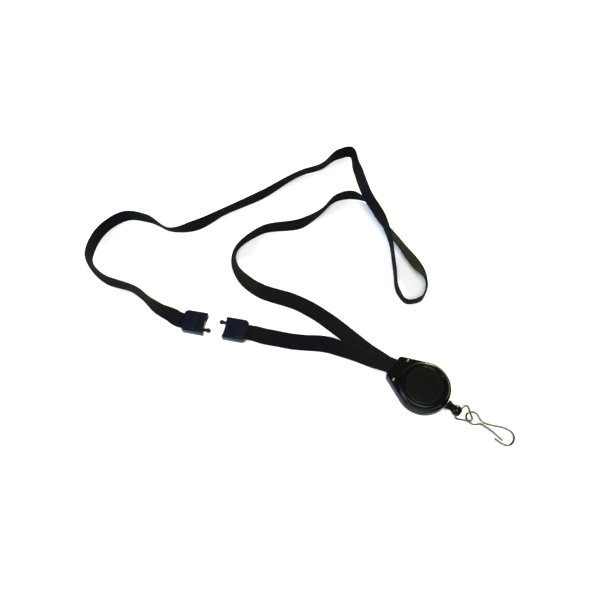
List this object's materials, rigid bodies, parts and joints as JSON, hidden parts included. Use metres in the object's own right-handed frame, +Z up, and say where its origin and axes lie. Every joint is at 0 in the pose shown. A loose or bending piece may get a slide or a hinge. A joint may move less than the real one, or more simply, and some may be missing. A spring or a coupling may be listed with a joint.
{
  "type": "lanyard badge holder",
  "caption": "Flat neck strap with a breakaway joint, on a round retractable cord reel that carries a wire snap hook for a badge.",
  "frame": {"origin": "centre of the reel's flat back, on the surface it lies on", "axes": "+X from the reel along the pull-out line to the hook, +Z up out of the reel's front"},
  "size_m": [0.2877, 0.1835, 0.0214],
  "materials": {
    "case_plastic": "black moulded plastic with a fine satin grain and soft edge gloss",
    "cap_plastic": "black plastic disc, slightly smoother than the case",
    "pin_steel": "bright plated pin heads",
    "spool_plastic": "dark matte plastic, inside the case",
    "spring_steel": "blue-grey spring strip",
    "cord_nylon": "thin twisted black nylon cord",
    "sleeve_plastic": "black moulded plastic, ribbed neck and smooth ball",
    "wire_steel": "nickel-plated round wire, slightly worn",
    "fitting_plastic": "black satin plastic",
    "strap_fabric": "flat black woven polyester strap with a fine ribbed weave"
  },
  "bodies": {
    "root": {"reel_back_case": "case_plastic", "reel_front_cover": "case_plastic", "front_cap_disc": "cap_plastic", "case_pin_left": "pin_steel", "case_pin_right": "pin_steel", "power_spring": "spring_steel", "strap_short": "strap_fabric", "strap_long": "strap_fabric", "breakaway_body_right": "fitting_plastic", "breakaway_lid_right": "fitting_plastic"},
    "breakaway_left": {"breakaway_body_left": "fitting_plastic", "breakaway_lid_left": "fitting_plastic", "strap_long_end": "strap_fabric"},
    "spool": {"spool": "spool_plastic", "wound_cord": "cord_nylon"},
    "pull_cord": {"cord_lead": "cord_nylon", "cord_end_knot": "cord_nylon"},
    "cord_end": {"cord_end_sleeve": "sleeve_plastic"},
    "ring": {"d_ring": "wire_steel"},
    "hook": {"snap_hook": "wire_steel"},
    "hook_arm": {"snap_hook_arm": "wire_steel"}
  },
  "joints": [
    {"name": "breakaway_close", "type": "slide", "parent": "root", "child": "breakaway_left", "axis": [0.891, 0.454, 0], "range_m": [0, 0.0115], "deforming": ["strap_long_end"]},
    {"name": "cord_pull", "type": "slide", "parent": "root", "child": "pull_cord", "axis": [1, 0, 0], "range_m": [0, 0.6], "stiffness_N_per_m": 1, "springref_m": -0.6, "deforming": ["cord_lead"]},
    {"name": "spool_spin", "type": "hinge", "parent": "root", "child": "spool", "pos_m": [0, 0, 0], "axis": [0, 0, 1], "range_deg": [-3440, 0], "deforming": ["power_spring"]},
    {"name": "sleeve_spin", "type": "hinge", "parent": "pull_cord", "child": "cord_end", "pos_m": [0.0227, 0, 0.0038], "axis": [1, 0, 0], "continuous": true},
    {"name": "d_ring_swing", "type": "hinge", "parent": "cord_end", "child": "ring", "pos_m": [0.0243, 0.001, 0.00395], "axis": [0.1524, 0.948, 0.2793], "range_deg": [-60, 60]},
    {"name": "hook_swing", "type": "hinge", "parent": "ring", "child": "hook", "pos_m": [0.0325, 0.0027, 0.0021], "axis": [0, 0.2334, 0.9724], "range_deg": [-25, 25]},
    {"name": "hook_gate", "type": "hinge", "parent": "hook", "child": "hook_arm", "pos_m": [0.035, -0.0003, 0.0029], "axis": [0, 0.2334, 0.9724], "range_deg": [0, 12], "stiffness_Nm_per_rad": 0.01, "springref_deg": -5.73}
  ],
  "couplings": [
    {"joint": "spool_spin", "follows": "cord_pull", "rad_per_m": -100}
  ]
}
